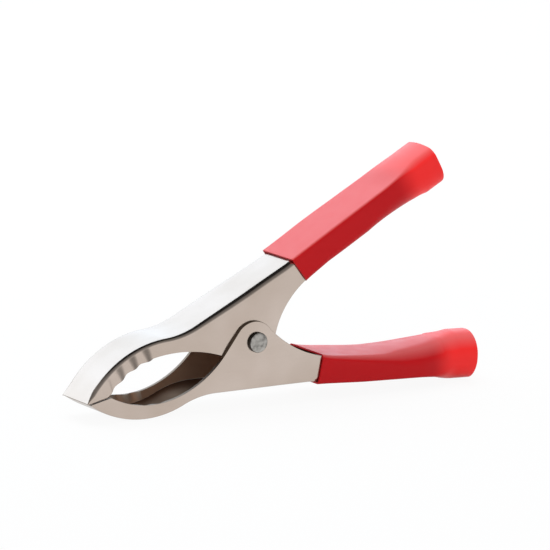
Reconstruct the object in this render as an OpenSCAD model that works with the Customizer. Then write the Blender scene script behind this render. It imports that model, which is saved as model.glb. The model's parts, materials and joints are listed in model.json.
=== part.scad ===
// Spring battery clip: two pressed-steel levers on a rivet, a torsion spring that closes the jaws, and a
// soft sleeve on each handle. The clip stands on its lower lever, with its jaws towards -X, its handles
// towards +X and the rivet along Y. Millimetres, origin at the bottom centre of its box, jaws closed.

/* [Sheet] */
// Thickness of the pressed steel
sheet_t = 0.8; // [0.6:0.05:1]
// Inside radius of the two bends along each lever
bend_in_r = 0.25; // [0.2:0.05:1]
// Outside width of the upper lever
upper_w = 11.4; // [10:0.2:15]
// Side gap between the upper lever's walls and the lower lever's walls
side_gap = 0.1; // [0.1:0.05:0.4]

/* [Jaws] */
// Length of a jaw, from the pivot to its tip
jaw_len = 43.2; // [40:0.1:47]
// Distance from the pivot to the highest point of the jaw's back
bulge_at = 25; // [22:0.5:28]
// Height of the jaw's back there, above the line on which the jaws meet
bulge_h = 8.3; // [7.8:0.1:9.5]
// Height of the jaw's back at its tip, above the same line
tip_h = 0.4; // [0.3:0.05:0.8]
// Radius of the hollow behind the bulge
neck_r = 20; // [12:1:30]
// Distance from the pivot to the widest point of the mouth
mouth_at = 23; // [20:0.5:25]
// Height of the upper jaw's mouth above the line on which the jaws meet
upper_mouth_h = 4.7; // [4:0.1:5.5]
// Height of the lower jaw's mouth below that line
lower_mouth_h = 5.2; // [4:0.1:5.5]
// Gap between the closed jaws at their tips
jaw_gap = 0.3; // [0.2:0.05:0.6]

/* [Teeth] */
// Number of waves in the edge of each jaw wall
tooth_count = 5; // [3:1:5]
// Length of a wave
tooth_pitch = 3.6; // [2.5:0.1:4]
// Height of a wave, outwards on the upper jaw and inwards on the lower one
tooth_h = 0.7; // [0.2:0.05:0.9]

/* [Handles] */
// Height of a lever's back above the pivot
shoulder_h = 10.8; // [10:0.1:13]
// Slope of the back from the neck to the handle, in degrees
shoulder_slope = 13.2; // [8:0.1:15]
// Distance from the pivot to the start of the handle
handle_at = 11; // [9:0.5:14]
// Slope of the handle, in degrees
handle_slope = 15.8; // [15:0.1:20]
// Length of the handle's channel
handle_len = 36; // [30:0.5:44]
// Depth of the channel where the sleeve starts
handle_h = 4.8; // [4.4:0.1:5.5]
// Depth of the channel at its end
handle_end_h = 3.9; // [3.6:0.1:4.4]
// Amount by which the channel narrows from the handle's start to its end
handle_taper = 1.4; // [0:0.1:2]
// Length of the two wings at the handle's end that fold over a cable
crimp_len = 8; // [5:0.5:12]
// Width of the slots in front of the wings
crimp_slot = 1.5; // [1:0.1:3]

/* [Pivot] */
// Radius of the ears about the pivot
ear_r = 4.5; // [4:0.1:5.2]
// Slope of the ears' edge towards the mouth, in degrees
ear_front_slope = 35.4; // [33:0.1:40]
// Slope of the ears' edge towards the handle, in degrees
ear_rear_slope = 55; // [52:1:62]
// Diameter of the rivet
rivet_d = 4; // [3:0.1:5]
// Amount by which the peened end stands out beyond the rivet, at each side
peened_over = 0.3; // [0.2:0.05:0.8]
// Amount by which the head stands out beyond the rivet, at each side
head_over = 1.2; // [0.8:0.1:1.6]
// Height of the head and of the peened end
head_h = 1.1; // [0.8:0.1:2]
// Running clearance of the upper lever on the rivet, at each side
pivot_clearance = 0.06; // [0.02:0.01:0.1]
// Clearance of the rivet in the lower lever, at each side
rivet_clearance = 0.02; // [0.01:0.01:0.04]

/* [Spring] */
// Diameter of the wire
wire_d = 1.6; // [1.2:0.1:1.8]
// Gap between two turns
turn_gap = 0.5; // [0.45:0.05:0.8]
// Gap between the coil and the rivet
coil_gap = 0.5; // [0.4:0.05:0.8]
// Least gap between the coil and the upper lever's walls
coil_side_gap = 0.4; // [0.3:0.05:0.6]
// Length of each leg
leg_len = 24; // [18:0.5:30]
// Gap between the end of a leg and the sheet that it presses on
leg_gap = 0.3; // [0.2:0.05:0.4]

/* [Sleeves] */
// Wall of a sleeve
sleeve_t = 0.8; // [0.6:0.05:1.2]
// Gap between a sleeve and the handle inside it
sleeve_gap = 0.1; // [0.05:0.01:0.2]
// Distance from the start of the handle to the sleeve's mouth
sleeve_at = 2.4; // [1:0.2:5]
// Slant of the mouth, in degrees
mouth_lean = 6; // [0:1:10]
// Length of a sleeve beyond the handle's end
sleeve_over = 9.6; // [8:0.2:14]
// Outside diameter of a sleeve's round end
tube_d = 11.3; // [10:0.1:13]
// Length of the round end
tube_len = 4.5; // [3:0.1:5]
// Distance from the sheet's back to the axis of the round end
tube_drop = 2.9; // [2:0.1:4]
// Distance from the start of the handle to where the sleeve's open side begins to swell
swell_at = 25; // [16:0.5:28]

/* [Hidden] */
$fn = 64;

nickel = "#c9bfb2";
rivet_steel = "#9a958f";
spring_steel = "#6f6c69";
red_vinyl = "#b8161c";

// Room that a cut leaves beyond the faces that it passes through
cut = 1;
// Steps in an outside bend of the sheet, and in a corner of a sleeve
bend_steps = 3;
corner_steps = 8;
// Steps along a lever in a wave, the mouth, a flank of the ear, the ear, the hollow behind it and the handle
wave_steps = 6;
mouth_steps = 10;
flank_steps = 3;
ear_steps = 8;
hollow_steps = 6;
handle_steps = 3;
// Steps along a sleeve where its open side swells, and where it turns round beyond the channel
swell_steps = 5;
round_steps = 4;
// Step between the bore of a sleeve's round end and the hollow behind it
bore_step = 0.2;
// Least height of a wall under the back, at the tip
least_wall = 0.1;
// Distance over which the slope of the back is taken
slope_run = 0.02;
// Levels in a wall between its edge and its bend, over which the waves die out
wave_levels = 2;
// Rings in one turn of the spring, sides of its wire, and points in a turn where its gap is measured
turn_rings = 8;
wire_sides = 6;
gap_points = 24;

lower_w = upper_w + 2 * (sheet_t + side_gap);
bend_r = bend_in_r + sheet_t;
rivet_r = rivet_d / 2;
tube_r = tube_d / 2;
wire_r = wire_d / 2;

// Levers are drawn in side view as [x, z], pivot at the origin, handles towards +x, upper lever above.
function mix(from, to, share) = from + (to - from) * share;
function along(angle) = [cos(angle), sin(angle)];
function across(angle) = [-sin(angle), cos(angle)];
// The point at which two lines meet, each given by a unit normal and its distance along that normal
function meet(normal_a, reach_a, normal_b, reach_b) =
    let (det = normal_a.x * normal_b.y - normal_a.y * normal_b.x)
    [reach_a * normal_b.y - reach_b * normal_a.y, reach_b * normal_a.x - reach_a * normal_b.x] / det;
function arc_above(centre, r, x) = centre.y + sqrt(r * r - pow(x - centre.x, 2));
function arc_below(centre, r, x) = centre.y - sqrt(r * r - pow(x - centre.x, 2));

// The back: an arc over the jaw, a hollow arc in the neck, the shoulder's line and the handle's line
bulge_drop = bulge_h - tip_h;
bulge_r = (pow(jaw_len - bulge_at, 2) + bulge_drop * bulge_drop) / (2 * bulge_drop);
bulge_c = [-bulge_at, bulge_h - bulge_r];
neck_rise = shoulder_h * cos(shoulder_slope) + neck_r - bulge_c * across(shoulder_slope);
neck_run = sqrt(pow(bulge_r + neck_r, 2) - neck_rise * neck_rise);
neck_c = bulge_c + neck_rise * across(shoulder_slope) + neck_run * along(shoulder_slope);
neck_start = (bulge_c + (neck_c - bulge_c) * bulge_r / (bulge_r + neck_r)).x;
neck_end = (neck_c - neck_r * across(shoulder_slope)).x;
handle_start = [handle_at, shoulder_h + handle_at * tan(shoulder_slope)];
handle_end = handle_start + handle_len * along(handle_slope);
function back_z(x) =
    x < neck_start ? arc_above(bulge_c, bulge_r, x)
    : x < neck_end ? arc_below(neck_c, neck_r, x)
    : x < handle_at ? shoulder_h + x * tan(shoulder_slope)
    : handle_start.y + (x - handle_at) * tan(handle_slope);

// The inner edge: the jaws' meeting line, the mouth's arc, the ear with a straight flank on each side,
// the hollow behind it, which ends at the sleeve's mouth, and the handle's edge
ear_front = across(-ear_front_slope);
function mouth_r(mouth_h) = (mouth_at * ear_front.x - mouth_h * ear_front.y - ear_r) / (1 - ear_front.y);
function mouth_c(mouth_h) = [-mouth_at, mouth_h - mouth_r(mouth_h)];
function mouth_end(mouth_h) = mouth_c(mouth_h) + mouth_r(mouth_h) * ear_front;
ear_start = -ear_r * ear_front;
ear_rear = -across(ear_rear_slope);
ear_end = ear_r * ear_rear;
edge_start = handle_start + sleeve_at * along(handle_slope) - handle_h * across(handle_slope);
edge_end = handle_end - handle_end_h * across(handle_slope);
edge_slope = atan2(edge_end.y - edge_start.y, edge_end.x - edge_start.x);
edge_down = -across(edge_slope);
hollow_corner = meet(ear_rear, ear_r, edge_down, edge_start * edge_down);
hollow_r = norm(edge_start - hollow_corner) / tan((ear_rear_slope - edge_slope) / 2);
hollow_c = edge_start + hollow_r * edge_down;
hollow_start = hollow_c - hollow_r * ear_rear;
function line_z(a, b, x) = a.y + (b.y - a.y) * (x - a.x) / (b.x - a.x);
function edge_z(x, mouth_h) =
    x < mouth_end(mouth_h).x ? max(jaw_gap / 2, arc_above(mouth_c(mouth_h), mouth_r(mouth_h), x))
    : x < ear_start.x ? line_z(mouth_end(mouth_h), ear_start, x)
    : x < ear_end.x ? arc_below([0, 0], ear_r, x)
    : x < hollow_start.x ? line_z(ear_end, hollow_start, x)
    : x < edge_start.x ? arc_above(hollow_c, hollow_r, x)
    : line_z(edge_start, edge_end, x);

// Places along a lever at which its cross-section is set, closest where the outline turns
teeth_end = -jaw_len + tooth_count * tooth_pitch;
function span(from, to, steps) = [for (i = [0 : steps - 1]) from + (to - from) * i / steps];
function places(mouth_h) = concat(
    span(-jaw_len, teeth_end, wave_steps * tooth_count),
    span(teeth_end, mouth_end(mouth_h).x, mouth_steps),
    span(mouth_end(mouth_h).x, ear_start.x, flank_steps),
    span(ear_start.x, ear_end.x, ear_steps),
    span(ear_end.x, hollow_start.x, flank_steps),
    span(hollow_start.x, edge_start.x, hollow_steps),
    span(edge_start.x, handle_end.x, handle_steps),
    [handle_end.x]);

// Sideways wave of a jaw wall's edge
function wave_y(x) = x < teeth_end ? tooth_h * (1 - cos(360 * (x - teeth_end) / tooth_pitch)) / 2 : 0;
// Narrowing of the channel at s along the handle
function narrowing(s) = handle_taper * max(0, min(s / handle_len, 1));
// Outside width of a lever of width w at x: both jaws are as wide as the upper lever at their tips
function width_at(x, w) =
    let (tip_share = max(0, (teeth_end - x) / (teeth_end + jaw_len)))
    mix(w, upper_w, tip_share) - narrowing((x - handle_at) / cos(handle_slope));
// Thickness of the back measured upright, where the back slopes
function back_t(x) =
    let (rise = back_z(x + slope_run / 2) - back_z(x - slope_run / 2))
    sheet_t * sqrt(1 + pow(rise / slope_run, 2));

// The underside of the back, which runs out into the edge at the tip
function inside_z(x, mouth_h) = max(back_z(x) - back_t(x), edge_z(x, mouth_h) + least_wall);

// One wall of the cross-section at x, from its edge up and round the bend, on the outside or on the inside
function wall_path(x, half_w, edge, top, r, wave) =
    let (bend = min(r, (top - edge) / 2))
    concat(
        [for (i = [0 : wave_levels])
            let (share = i / wave_levels)
            [x, half_w + wave * (1 - share), mix(edge, top - bend, share)]],
        [for (i = [1 : bend_steps])
            let (angle = 90 * i / bend_steps)
            [x, half_w - bend + bend * cos(angle), top - bend + bend * sin(angle)]]);
function both_walls(path) =
    concat(path, [for (i = [len(path) - 1 : -1 : 0]) [path[i].x, -path[i].y, path[i].z]]);
function reversed(list) = [for (i = [len(list) - 1 : -1 : 0]) list[i]];
// Cross-section of a lever of width w, whose jaw's waves go outwards (way 1) or inwards (way -1)
function lever_ring(x, w, way, mouth_h) =
    let (half_w = width_at(x, w) / 2,
        edge = edge_z(x, mouth_h),
        wave = way * wave_y(x))
    concat(
        both_walls(wall_path(x, half_w, edge, back_z(x), bend_r, wave)),
        reversed(both_walls(wall_path(x, half_w - sheet_t, edge, inside_z(x, mouth_h), bend_in_r, wave))));

// Closed skin over a row of rings with equally many points. Its ends are closed by a "fan", or as the two
// ends of a "folded" sheet, whose rings run out along one side and back along the other, or they are
// "joined" to each other.
module skin(rings, ends = "fan") {
    count = len(rings[0]);
    last = len(rings) - 1;
    turns = ends == "joined" ? last : last - 1;
    sides = [for (i = [0 : turns], j = [0 : count - 1], upper = [false, true])
        let (k = (j + 1) % count, here = i * count, next = (i + 1) % (last + 1) * count)
        upper ? [here + j, next + j, next + k] : [here + j, next + k, here + k]];
    cap = ends == "joined" ? []
        : ends == "folded"
        ? [for (j = [0 : count / 2 - 2], upper = [false, true])
            let (k = count - 1 - j)
            upper ? [j, j + 1, k - 1] : [j, k - 1, k]]
        : [for (j = [1 : count - 2]) [0, j, j + 1]];
    far_cap = [for (face = cap) [for (i = reversed(face)) last * count + i]];
    polyhedron(points = [for (ring = rings) each ring], faces = concat(sides, cap, far_cap));
}

// Standing on the lower jaw's bulge and on the end of the lower sleeve
sleeve_end = handle_len + sleeve_over;
tube_c = handle_start + sleeve_end * along(handle_slope) - tube_drop * across(handle_slope);
rim = tube_c + tube_r * across(handle_slope);
to_rim = [rim.x - bulge_c.x, -rim.y + bulge_c.y];
stand_tilt = -atan2(to_rim.y, to_rim.x) - asin(bulge_r / norm(to_rim));
floor_z = bulge_c.x * sin(stand_tilt) - bulge_c.y * cos(stand_tilt) - bulge_r;
jaw_end_x = -jaw_len * cos(stand_tilt) - back_z(-jaw_len) * sin(stand_tilt);
tube_end_x = tube_c.x * cos(stand_tilt) + tube_c.y * sin(stand_tilt)
    + tube_r * abs(sin(handle_slope - stand_tilt));
module stand() {
    translate([-(jaw_end_x + tube_end_x) / 2, 0, -floor_z])
        rotate([0, -stand_tilt, 0])
            children();
}
// The start of a handle, with +X along the handle and +Z out of its back
module on_handle() {
    translate([handle_start.x, 0, handle_start.y])
        rotate([0, -handle_slope, 0])
            children();
}
module lying_cylinder(d, h) {
    rotate([90, 0, 0])
        cylinder(d = d, h = h, center = true);
}

// A lever: the folded sheet with its pivot holes and the slots in front of its crimp wings
module lever(w, hole_d, way, mouth_h) {
    difference() {
        skin([for (x = places(mouth_h)) lever_ring(x, w, way, mouth_h)], ends = "folded");
        lying_cylinder(hole_d, w + 2 * cut);
        on_handle()
            translate([handle_len - crimp_len - crimp_slot, -w / 2 - cut, -handle_h - cut])
                cube([crimp_slot, w + 2 * cut, handle_h + cut - bend_r]);
    }
}
module upper_lever() {
    color(nickel)
        stand()
            lever(upper_w, rivet_d + 2 * pivot_clearance, 1, upper_mouth_h);
}
module lower_lever() {
    color(nickel)
        stand()
            mirror([0, 0, 1])
                lever(lower_w, rivet_d + 2 * rivet_clearance, -1, lower_mouth_h);
}

// The rivet: a plain shank, a domed head on the far side and a peened end on the near side
head_d = rivet_d + 2 * head_over;
peened_d = rivet_d + 2 * peened_over;
dome_r = (pow(head_d / 2, 2) + head_h * head_h) / (2 * head_h);
peened_rim = head_h / 4;
module pivot_rivet() {
    color(rivet_steel)
        stand()
            rotate([90, 0, 0])
                union() {
                    cylinder(d = rivet_d, h = lower_w, center = true);
                    translate([0, 0, lower_w / 2]) {
                        cylinder(d = peened_d, h = head_h - peened_rim);
                        translate([0, 0, head_h - peened_rim])
                            cylinder(d1 = peened_d, d2 = peened_d - 2 * peened_rim, h = peened_rim);
                    }
                    intersection() {
                        translate([0, 0, dome_r - head_h - lower_w / 2])
                            sphere(r = dome_r);
                        translate([0, 0, -lower_w / 2 - head_h - cut])
                            cylinder(d = head_d + 2 * cut, h = head_h + cut);
                    }
                }
}

// The spring: a leg up the upper handle, the coil round the rivet, and a leg down the lower handle
coil_r = rivet_r + coil_gap + wire_r;
leg_reach = handle_start * across(handle_slope) - sheet_t - leg_gap - wire_r;
leg_slope = handle_slope + asin(leg_reach / norm([coil_r, leg_len])) - atan2(coil_r, leg_len);
// Turns of the coil: the part of a turn between the legs, and as many whole turns as the walls leave room for
part_turn = (180 - 2 * leg_slope) / 360;
coil_room = upper_w - 2 * (sheet_t + coil_side_gap) - wire_d;
coil_turns = part_turn + floor(coil_room / (wire_d + turn_gap) - part_turn);
coil_half = coil_turns * (wire_d + turn_gap) / 2;
function coil_point(share) =
    let (angle = leg_slope + 90 + 360 * coil_turns * share)
    [coil_r * cos(angle), coil_half * (2 * share - 1), coil_r * sin(angle)];
function leg_end(side) =
    let (point = coil_r * across(leg_slope) + leg_len * along(leg_slope))
    [point.x, -side * coil_half, side * point.y];
function spring_path(points_per_turn) =
    let (steps = ceil(coil_turns * points_per_turn))
    concat([leg_end(1)], [for (i = [0 : steps]) coil_point(i / steps)], [leg_end(-1)]);
function unit(v) = v / norm(v);
function wire_ring(path, i) =
    let (ahead = unit(path[min(i + 1, len(path) - 1)] - path[i]),
        behind = unit(path[i] - path[max(i - 1, 0)]),
        way = i == 0 ? ahead : i == len(path) - 1 ? behind : unit(ahead + behind),
        out = unit(cross(way, [0, 1, 0])),
        side = cross(way, out))
    [for (j = [0 : wire_sides - 1])
        let (angle = 360 * j / wire_sides)
        path[i] + wire_r * (cos(angle) * out + sin(angle) * side)];
module torsion_spring() {
    path = spring_path(turn_rings);
    color(spring_steel)
        stand()
            skin([for (i = [0 : len(path) - 1]) wire_ring(path, i)]);
}
measured = spring_path(gap_points);
spring_gap = min([for (i = [0 : len(measured) - 1])
    for (j = [i + gap_points / 2 : 1 : len(measured) - 1])
        norm(measured[i] - measured[j])]) - wire_d;
echo(str("Least gap of the spring to itself: ", spring_gap, " mm"));

// A sleeve: it takes the channel's outline along the handle and turns into a round tube beyond its end
round_start = sleeve_end - tube_len;
sleeve_places = concat(
    [sleeve_at],
    span(swell_at, handle_len, swell_steps),
    span(handle_len, round_start, round_steps),
    [round_start]);
// How far the outline has turned round at s, from 0 at the first place to 1 at the round end
function roundness(s, first) =
    s < first ? 0 : (1 - cos(180 * (s - first) / (round_start - first))) / 2;
function channel_h(s) =
    mix(handle_h, handle_end_h, (min(s, handle_len) - sleeve_at) / (handle_len - sleeve_at));
function corner(s, y, z, r, first) =
    [for (i = [0 : corner_steps - 1])
        let (angle = first + 90 * (i + 0.5) / corner_steps)
        [s, y + r * cos(angle), z + r * sin(angle)]];
// The sleeve's outline at s along the handle, at a distance off the sheet that it covers
function sleeve_ring(s, w, off, round_r) =
    let (share = roundness(s, handle_len),
        swell = roundness(s, swell_at),
        half_w = mix((w - narrowing(s)) / 2 + off, round_r, share),
        top = mix(off, round_r - tube_drop, share),
        bottom = mix(-channel_h(s) - off, -round_r - tube_drop, swell),
        top_r = mix(bend_r, round_r, share),
        bottom_r = mix(sleeve_gap + off, round_r, swell))
    concat(
        corner(s, half_w - top_r, top - top_r, top_r, 0),
        corner(s, top_r - half_w, top - top_r, top_r, 90),
        corner(s, bottom_r - half_w, bottom + bottom_r, bottom_r, 180),
        corner(s, half_w - bottom_r, bottom + bottom_r, bottom_r, 270));
function slanted(ring) = [for (point = ring) [point.x - point.z * tan(mouth_lean), point.y, point.z]];
function sleeve_rings(w, off, round_r) =
    [for (s = sleeve_places)
        let (ring = sleeve_ring(s, w, off, round_r))
        s == sleeve_at ? slanted(ring) : ring];
function round_ring(s, r) = [for (first = [0 : 90 : 270]) each corner(s, 0, -tube_drop, r, first)];
// The round end is closed but for a pilot hole, and then drilled to its bore, which opens into a hollow
// that is a little wider
bore_r = tube_r - sleeve_t;
pilot_r = bore_r / 2;
module sleeve(w) {
    outside = sleeve_rings(w, sleeve_gap + sleeve_t, tube_r);
    inside = sleeve_rings(w, sleeve_gap, bore_r + bore_step);
    end = [round_ring(sleeve_end, tube_r), round_ring(sleeve_end, pilot_r), round_ring(round_start, pilot_r)];
    on_handle()
        difference() {
            skin(concat(outside, end, reversed(inside)), ends = "joined");
            translate([round_start - bore_step, 0, -tube_drop])
                rotate([0, 90, 0])
                    cylinder(r = bore_r, h = tube_len + bore_step + cut);
        }
}
module upper_sleeve() {
    color(red_vinyl)
        stand()
            sleeve(upper_w);
}
module lower_sleeve() {
    color(red_vinyl)
        stand()
            mirror([0, 0, 1])
                sleeve(lower_w);
}

lower_lever();
upper_lever();
pivot_rivet();
torsion_spring();
lower_sleeve();
upper_sleeve();
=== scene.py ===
"""Dresses the spring battery clip for a render: levers, rivet, spring and sleeves over the CAD frame."""

import json
from math import asin, atan2, ceil, cos, floor, hypot, pi, radians, sin, sqrt, tan

import bmesh
import bpy
from mathutils import Matrix, Vector, noise


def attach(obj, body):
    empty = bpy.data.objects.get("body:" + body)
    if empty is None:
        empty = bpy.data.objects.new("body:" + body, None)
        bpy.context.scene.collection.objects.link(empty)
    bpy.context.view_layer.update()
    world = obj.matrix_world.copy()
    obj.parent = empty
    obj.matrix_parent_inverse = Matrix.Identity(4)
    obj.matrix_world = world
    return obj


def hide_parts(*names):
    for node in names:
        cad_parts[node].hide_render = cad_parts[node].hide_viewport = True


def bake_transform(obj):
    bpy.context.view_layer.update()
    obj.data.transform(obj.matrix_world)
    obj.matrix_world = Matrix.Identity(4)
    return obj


bl_info = {
    "name": "Spring battery clip",
    "version": (1, 0, 0),
    "blender": (4, 5, 0),
    "location": "3D View > Sidebar > Clip",
    "description": "Builds the levers, rivet, spring and sleeves of a spring battery clip",
    "category": "Object",
}

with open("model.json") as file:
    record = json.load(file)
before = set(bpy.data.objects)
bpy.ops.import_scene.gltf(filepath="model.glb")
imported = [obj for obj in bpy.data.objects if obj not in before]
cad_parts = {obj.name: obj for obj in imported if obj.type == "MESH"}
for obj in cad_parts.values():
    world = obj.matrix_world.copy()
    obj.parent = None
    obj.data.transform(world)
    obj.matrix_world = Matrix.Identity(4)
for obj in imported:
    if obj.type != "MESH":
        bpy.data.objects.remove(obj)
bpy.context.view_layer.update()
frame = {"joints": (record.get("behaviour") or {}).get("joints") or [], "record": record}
MM = 0.001
# Points nearer to each other than this become one
MERGE = 0.001 * MM
PIVOT = Vector(frame["joints"][0]["pos_m"])
MOUNTS = {mount["name"]: mount for mount in frame["record"]["mounts"]}
UPPER_AXIS = Vector(MOUNTS["upper_cable_entry"]["axis"])


def linear(hex_colour):
    """Turns an sRGB hex colour into linear red, green, blue and alpha."""
    parts = [int(hex_colour[i:i + 2], 16) / 255 for i in (1, 3, 5)]
    return [p / 12.92 if p <= 0.04045 else ((p + 0.055) / 1.055) ** 2.4 for p in parts] + [1.0]


def length(name, description, millimetres):
    """A size in the sidebar, in millimetres here and in metres in Blender."""
    return bpy.props.FloatProperty(
        name=name, description=description, default=millimetres * MM, min=0, unit="LENGTH", precision=5
    )


def angle(name, description, degrees):
    """An angle in the sidebar."""
    return bpy.props.FloatProperty(
        name=name, description=description, default=radians(degrees), subtype="ANGLE"
    )


def number(name, description, value):
    """A plain number in the sidebar."""
    return bpy.props.FloatProperty(name=name, description=description, default=value)


def colour(name, description, hex_colour):
    """A colour in the sidebar, given as an sRGB hex value."""
    return bpy.props.FloatVectorProperty(
        name=name, description=description, default=linear(hex_colour), size=4, subtype="COLOR", min=0, max=1
    )


UPPER = 0
LOWER = 1


def own_sizes(table, half):
    """Annotations for the sizes in which the two halves differ, from a table with a value for each half."""
    sizes = {}
    for key, (kind, description, *values) in table.items():
        sizes[key] = kind(key.replace("_", " ").capitalize(), description, values[half])
    return sizes


class LeverSizes(bpy.types.PropertyGroup):
    """Sizes that the two pressed levers share."""

    sheet: length("Sheet", "Thickness of the pressed steel", 0.8)
    jaw_bend: length("Jaw bend", "Outside radius of the bends at the highest point of a jaw", 0.8)
    bulge_at: length("Bulge place", "From the pivot to the highest point of the jaw's back", 25)
    bulge_height: length("Bulge height", "Height of the jaw's back over the meeting line", 8.3)
    tip_height: length("Tip height", "Height of the jaw's back at its tip", 0.25)
    tip_narrowing: length("Tip narrowing", "Amount by which a jaw narrows from the ears to its tip", 1.3)
    neck_radius: length("Neck radius", "Radius of the hollow behind the bulge", 20)
    jaw_gap: length("Jaw gap", "Gap between the closed jaws at their tips", 0.2)
    tooth_pitch: length("Tooth pitch", "Length of a wave in the toothed walls", 3.6)
    tooth_count: bpy.props.IntProperty(
        name="Teeth", description="Waves in the edge of a jaw wall", default=5, min=1
    )
    widening: length("Widening", "Amount by which a lever widens from the ears to the handle", 0.3)
    shoulder_slope: angle("Shoulder slope", "Slope of the back from the neck to the handle", 13.2)
    handle_at: length("Handle place", "From the pivot to the start of the handle", 11)
    handle_slope: angle("Handle slope", "Slope of the handle", 15.8)
    handle_length: length("Handle length", "Length of the handle's channel", 36)
    handle_taper: length("Handle taper", "Amount by which the channel narrows towards its end", 1.4)
    crimp_length: length("Crimp length", "Length of the wings at the handle's end", 8)
    crimp_slot: length("Crimp slot", "Width of the slots in front of the wings", 1.5)


# The levers' own edges: kind of size, description, value for the upper lever, value for the lower one
EDGE_SIZES = {
    "width": (length, "Outside width of the lever at its ears", 11.4, 13.2),
    "flare": (length, "Extra width of each wall in the jaw and at the back", 0.4, 0),
    "shoulder_height": (length, "Height of the back over the pivot", 11.4, 10.8),
    "bend": (length, "Outside radius of the bends along the shoulder and the handle", 1.25, 1.0),
    "jaw_length": (length, "From the pivot to the tip of the jaw", 43.1, 42.5),
    "tooth_height": (length, "Sideways height of a wave in both faces of the wall", 0.8, 0),
    "tooth_cut": (length, "Depth of a wave in the inner face only", 0, 0.6),
    "mouth_at": (length, "From the pivot to the widest point of the mouth", 26.2, 23.4),
    "mouth_height": (length, "From the meeting line to the edge of the mouth", 4.8, 5.5),
    "mouth_front": (length, "Radius of the mouth in front of its widest point", 17, 21),
    "ear_radius": (length, "Radius of the ears", 5.1, 4.9),
    "ear_shift": (length, "Distance of the ears' centre in front of the pivot", 0.2, 0.7),
    "ear_front": (angle, "Slope of the ears' edge towards the mouth", 34, 40.7),
    "ear_rear": (angle, "Slope of the ears' edge towards the handle", 64, 60),
    "hollow_end": (length, "From the handle's start to the end of the hollow behind the ears", 3.6, 5.5),
    "hollow_depth": (length, "Depth of the channel there", 5.8, 5.5),
    "end_depth": (length, "Depth of the channel at its end", 3.9, 3.2),
}


class UpperEdge(bpy.types.PropertyGroup):
    """Sizes of the upper lever's own edge."""

    __annotations__ = own_sizes(EDGE_SIZES, UPPER)


class LowerEdge(bpy.types.PropertyGroup):
    """Sizes of the lower lever's own edge."""

    __annotations__ = own_sizes(EDGE_SIZES, LOWER)


class PivotSizes(bpy.types.PropertyGroup):
    """Sizes of the rivet and of the spring round it."""

    rivet: length("Rivet", "Diameter of the rivet", 4)
    hole_gap: length("Hole gap", "Clearance between the rivet and its holes", 0.05)
    peened: length("Peened end", "Diameter of the rivet's peened end", 4.5)
    head: length("Head", "Diameter of the rivet's head", 6.4)
    peened_height: length("Peened height", "Height of the peened end", 0.85)
    head_height: length("Head height", "Height of the head", 1.1)
    wire: length("Wire", "Diameter of the spring's wire", 1.6)
    turn_gap: length("Turn gap", "Gap between two turns of the spring", 0.5)
    coil_gap: length("Coil gap", "Gap between the coil and the rivet", 0.5)
    side_gap: length("Side gap", "Least gap between the coil and the upper lever's walls", 0.4)
    leg: length("Leg", "Length of each leg of the spring", 24)
    leg_gap: length("Leg gap", "Gap between a leg's end and the sheet", 0.3)


class SleeveSizes(bpy.types.PropertyGroup):
    """Sizes that the two soft sleeves share."""

    wall: length("Wall", "Wall of a sleeve", 0.8)
    mouth_wall: length("Mouth wall", "Wall of a sleeve at its mouth", 0.4)
    mouth_off: length("Mouth off", "From the sheet to the outside of the sleeve at its mouth", 0.5)
    back_off: length("Back off", "From the sheet's back to the outside of the sleeve", 0.7)
    side_off: length("Side off", "From the sheet's sides to the outside of the sleeve", 0.8)
    low_off: length("Low off", "From the walls' edge to the outside of the sleeve, on the open side", 0.15)
    hug: length("Hug", "Length over which the mouth hugs the sheet", 14)
    start: length("Start", "From the start of the handle to the sleeve's mouth", 2.0)
    lean: angle("Lean", "Slant of the mouth", 9)
    lean_fade: length("Lean fade", "Distance over which the slant dies out", 20)
    round_length: length("Round length", "Length of the round end", 4.5)
    turn_at: length("Turn place", "From the handle's start to where the outline begins to turn round", 29)
    crease: length("Crease", "Outside radius of the corners along the sheet's bends", 0.55)
    low_corner: length("Low corner", "Largest outside radius of the corners on the open side", 1.7)
    rim_half: length("Rim half", "Half the width of the round end", 5.65)
    rim_corner: length("Rim corner", "Radius of the round end's low corners", 5.3)


# The sleeves' own outlines: kind of size, description, value for the upper sleeve, value for the lower one
TUBE_SIZES = {
    "under": (length, "Least depth of the sleeve below the sheet's back", 5.8, 5.7),
    "bow": (length, "Amount by which the open side bows out between the walls' edges", 0, 1.2),
    "over": (length, "Length of the sleeve beyond the handle's end", 8.6, 9.2),
    "swell_at": (length, "From the handle's start to where the open side begins to swell", 22, 14),
    "swell_power": (number, "Lateness of the swell", 1.9, 2.2),
    "rim_top": (length, "Height of the round end's shoulders over the sheet's back", 1.0, 1.25),
    "rim_crown": (length, "Crown of the round end between its shoulders", 0.85, 1.35),
    "rim_crease": (length, "Radius of the round end's shoulders", 1.7, 3.6),
    "rim_bottom": (length, "Depth of the round end below the sheet's back", 8.45, 8.35),
}


class UpperTube(bpy.types.PropertyGroup):
    """Sizes of the upper sleeve's own outline."""

    __annotations__ = own_sizes(TUBE_SIZES, UPPER)


class LowerTube(bpy.types.PropertyGroup):
    """Sizes of the lower sleeve's own outline."""

    __annotations__ = own_sizes(TUBE_SIZES, LOWER)


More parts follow.
